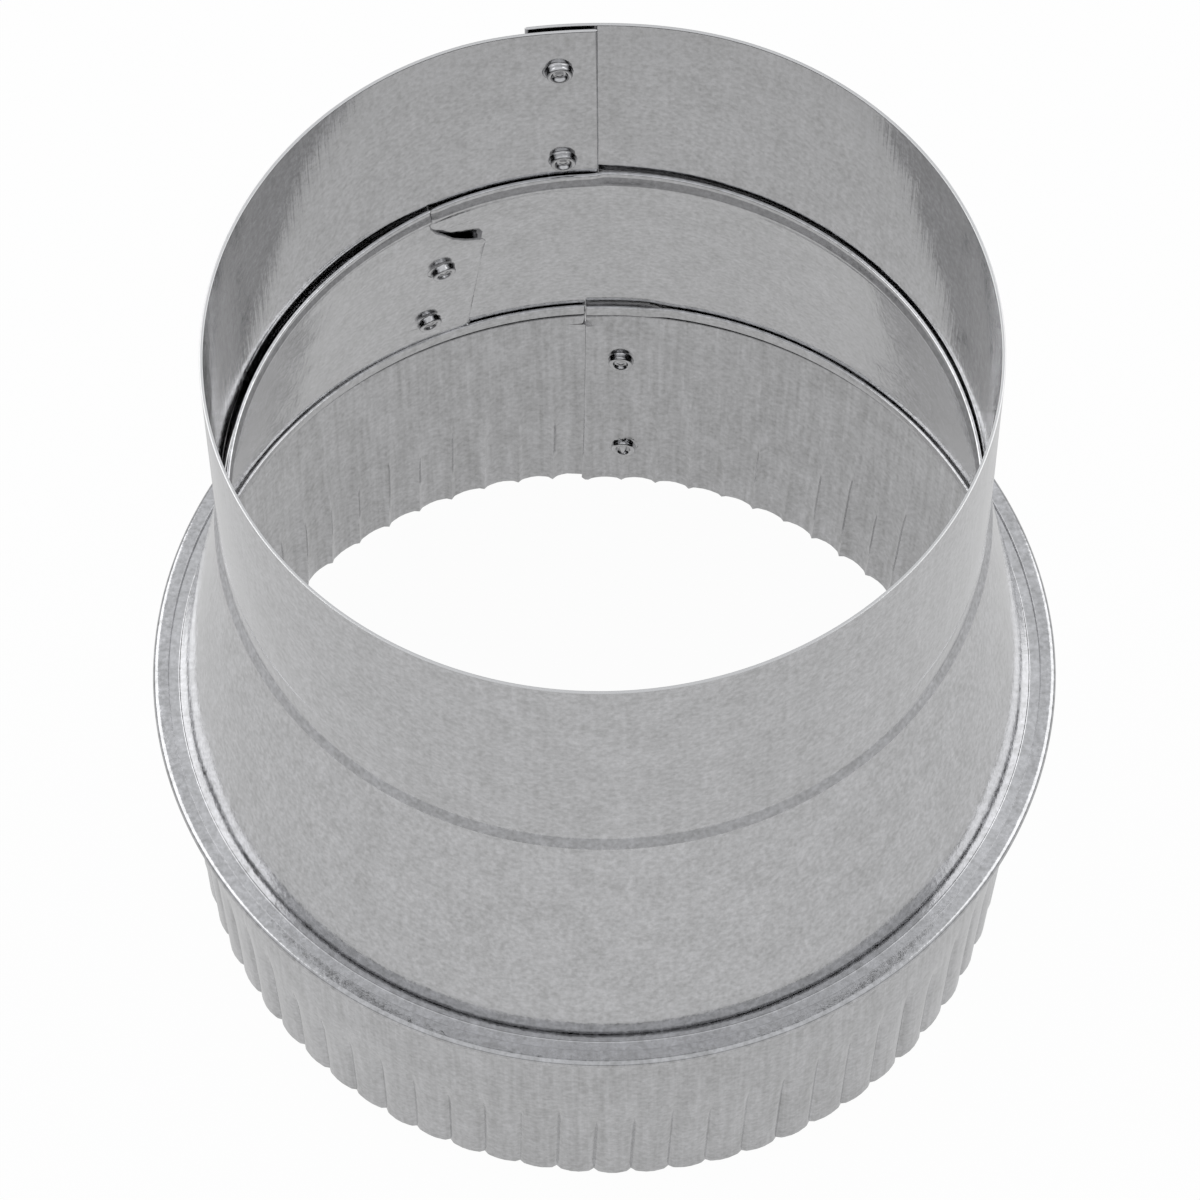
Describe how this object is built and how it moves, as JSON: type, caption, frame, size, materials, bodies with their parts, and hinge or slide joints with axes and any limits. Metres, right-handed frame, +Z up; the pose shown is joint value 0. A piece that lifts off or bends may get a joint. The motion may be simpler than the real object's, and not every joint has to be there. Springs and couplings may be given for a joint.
{
  "type": "duct reducer",
  "caption": "Round sheet-metal duct reducer: a plain collar, a tapered body and a larger crimped collar, each rolled from sheet and clinched at a lap seam.",
  "frame": {"origin": "On the duct axis, in the plane of the crimped edge that the reducer stands on", "axes": "+Z runs up the duct axis from the large crimped end to the small plain end; the lap seams lie at +Y"},
  "size_m": [0.1578, 0.1578, 0.155],
  "materials": {
    "small_collar": "galvanised",
    "taper": "galvanised",
    "crimped_collar": "galvanised"
  },
  "bodies": {
    "root": {"small_collar": "small_collar", "taper": "taper", "crimped_collar": "crimped_collar"}
  },
  "joints": []
}
